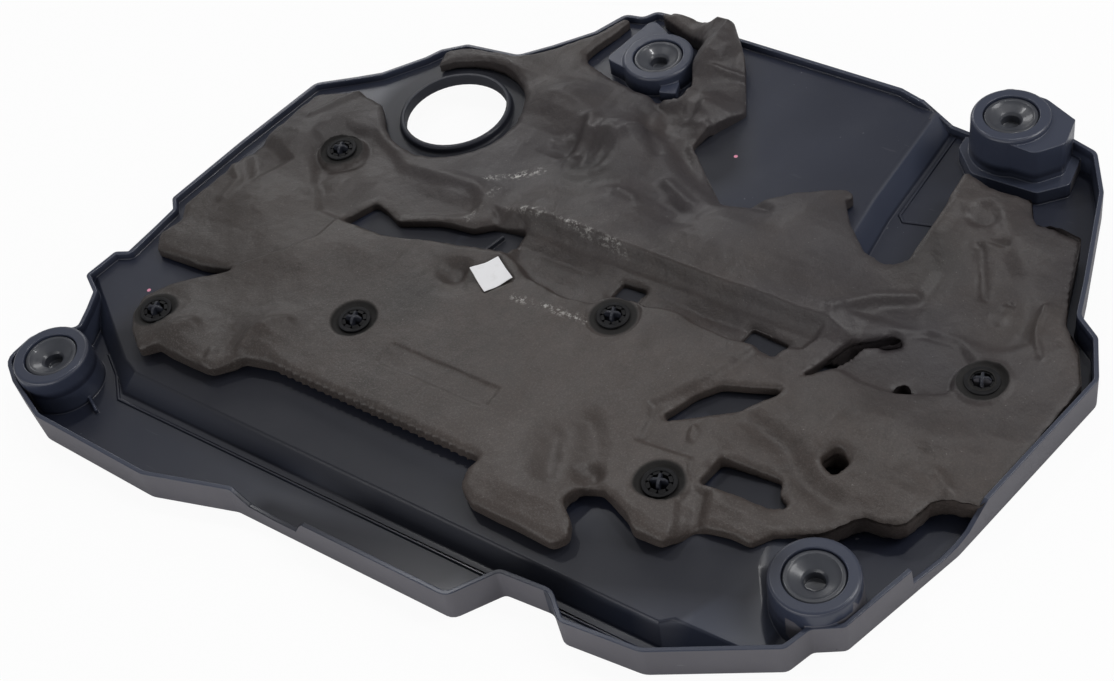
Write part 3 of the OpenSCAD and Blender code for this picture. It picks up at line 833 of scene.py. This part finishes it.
def growWashers(values):  # the tree, and the identifier of each of its inputs
    tree = bpy.data.node_groups.new("pushOnWashers", "GeometryNodeTree")
    face = tree.interface
    sockets = {"Seats": face.new_socket("Seats", in_out="INPUT", socket_type="NodeSocketGeometry")}
    for key, value in values.items():
        kind = "NodeSocketInt" if isinstance(value, int) else "NodeSocketFloat"
        sockets[key] = face.new_socket(key, in_out="INPUT", socket_type=kind)
    sockets["Finish"] = face.new_socket("Finish", in_out="INPUT", socket_type="NodeSocketMaterial")
    face.new_socket("Washers", in_out="OUTPUT", socket_type="NodeSocketGeometry")
    given = tree.nodes.new("NodeGroupInput")
    wires = {key: Wire(tree, given.outputs[key]) for key in sockets}
    hole, thick, rim = wires["Hole radius"], wires["Thickness"], wires["Rim width"]

    def add(kind, settings=None, **inputs):
        return addNode(tree, kind, settings, **inputs)

    path = add("GeometryNodeCurvePrimitiveCircle", Resolution=wires["Rim segments"],
               Radius=wires["Outer radius"] - rim * 0.5)
    section = add("GeometryNodeCurvePrimitiveQuadrilateral", Width=rim, Height=thick)
    section = add("GeometryNodeFilletCurve", {"mode": "POLY"}, Curve=section, Count=wires["Corner segments"],
                  Radius=thick * wires["Corner"])
    band = add("GeometryNodeCurveToMesh", Curve=path, Profile_Curve=section)
    gap = wires["Outer radius"] - rim - hole
    middle = hole + gap * 0.5
    size = add("ShaderNodeCombineXYZ", X=gap * wires["Tooth length"],
               Y=middle * math.tau / wires["Teeth"] - wires["Slot"], Z=thick * wires["Tooth thickness"])
    tooth = add("GeometryNodeMeshCube", Size=size)
    tilt = add("ShaderNodeCombineXYZ", Y=wires["Tilt"])
    leant = add("GeometryNodeTransform", Geometry=tooth, Rotation=tilt)
    ring = add("GeometryNodeMeshCircle", Vertices=wires["Teeth"], Radius=middle)
    place = add("GeometryNodeInputPosition")
    outwards = add("FunctionNodeAlignRotationToVector", {"axis": "X"}, Vector=place)
    fan = add("GeometryNodeInstanceOnPoints", Points=ring, Instance=leant, Rotation=outwards)
    washer = add("GeometryNodeJoinGeometry", Geometry=[band, fan])
    placed = add("GeometryNodeInstanceOnPoints", Points=wires["Seats"], Instance=washer)
    solid = add("GeometryNodeRealizeInstances", Geometry=placed)
    made = add("GeometryNodeSetMaterial", Geometry=solid, Material=wires["Finish"])
    plug(tree, tree.nodes.new("NodeGroupOutput").inputs[0], made)
    return tree, {key: socket.identifier for key, socket in sockets.items()}


def buildWashers():
    seats = bpy.data.meshes.new("washerSeats")
    seats.from_pydata([middleOf(name).tolist() for name in washerNodes], [], [])
    piece = newPiece("pushOnWashers", seats, "washer")
    tree, identifiers = growWashers(washerValues)
    modifier = addModifier(piece, "NODES", node_group=tree)
    for key, value in (washerValues | {"Finish": finishes["washer"]}).items():
        modifier[identifiers[key]] = value
    keepModifiers(piece)
    rework(piece.data, faceOutwards)
    shadeSmooth(piece, washerSharp)
    seat(piece, "washer_plastic", *washerNodes)


buildWashers()
print("washers built")


# Rubber sockets, with the soft edges that catch the light

socketValues = {"bevel": 0.3 * mm, "segments": 3, "rounded": 20, "sharp": 50}  # the angles are in degrees


def buildSocket(spot):
    piece = newPiece(f"socket_{spot}", mergedCopy(f"grommet_{spot}", f"socket_{spot}"), "rubber")
    addModifier(piece, "BEVEL", width=socketValues["bevel"], segments=socketValues["segments"],
                use_clamp_overlap=False, limit_method="ANGLE",
                angle_limit=math.radians(socketValues["rounded"]))
    keepModifiers(piece)
    shadeSmooth(piece, socketValues["sharp"])
    seat(piece, "socket_rubber", f"grommet_{spot}")


for spot in ("left", "back", "right", "front"):
    buildSocket(spot)
print("sockets built")


# Label: thin paper, in millimetres, curled at two corners and a little at the other two

labelValues = {
    "length": 20.0, "width": 17.0, "thick": 0.35, "turn": -31, "cells": 14, "above": 0.1, "sharp": 40,
    "curl": 1.5, "curlStart": 0.7, "lesserCurl": 0.3, "lesserStart": 1.0,
    "wave": 0.25, "waveAlong": (3.1, 0.6), "waveAcross": 2.2,
}


def labelLift(u, v):  # height of the paper at places from -1 to 1 along and across
    main = eased((np.abs(u + v) - labelValues["curlStart"]) / (2 - labelValues["curlStart"]))
    lesser = eased((np.abs(u - v) - labelValues["lesserStart"]) / (2 - labelValues["lesserStart"]))
    often, shift = labelValues["waveAlong"]
    lift = labelValues["curl"] * (main + labelValues["lesserCurl"] * lesser)
    lift += labelValues["wave"] * np.sin(u * often + shift) * np.cos(v * labelValues["waveAcross"])
    return labelValues["above"] + lift - lift.min()


def buildLabel():
    middle, bottom = middleOf("label"), boxOf("label")[0][2]
    n = labelValues["cells"]
    u, v = np.meshgrid(np.linspace(-1, 1, n + 1), np.linspace(-1, 1, n + 1), indexing="ij")
    x, y = u * labelValues["length"] / 2, v * labelValues["width"] / 2
    turn = math.radians(labelValues["turn"])
    places = np.stack([
        middle[0] + (x * math.cos(turn) - y * math.sin(turn)) * mm,
        middle[1] + (x * math.sin(turn) + y * math.cos(turn)) * mm,
        bottom + labelLift(u, v) * mm], axis=-1).reshape(-1, 3)
    firsts = [i * (n + 1) + j for i in range(n) for j in range(n)]
    faces = [(first, first + n + 1, first + n + 2, first + 1) for first in firsts]
    mesh = bpy.data.meshes.new("label")
    mesh.from_pydata(places.tolist(), [], faces)
    piece = newPiece("paperLabel", mesh, "paper")
    addModifier(piece, "SOLIDIFY", thickness=labelValues["thick"] * mm, offset=1)
    keepModifiers(piece)
    shadeSmooth(piece, labelValues["sharp"])
    seat(piece, "label_paper", "label")


buildLabel()
print("label built")
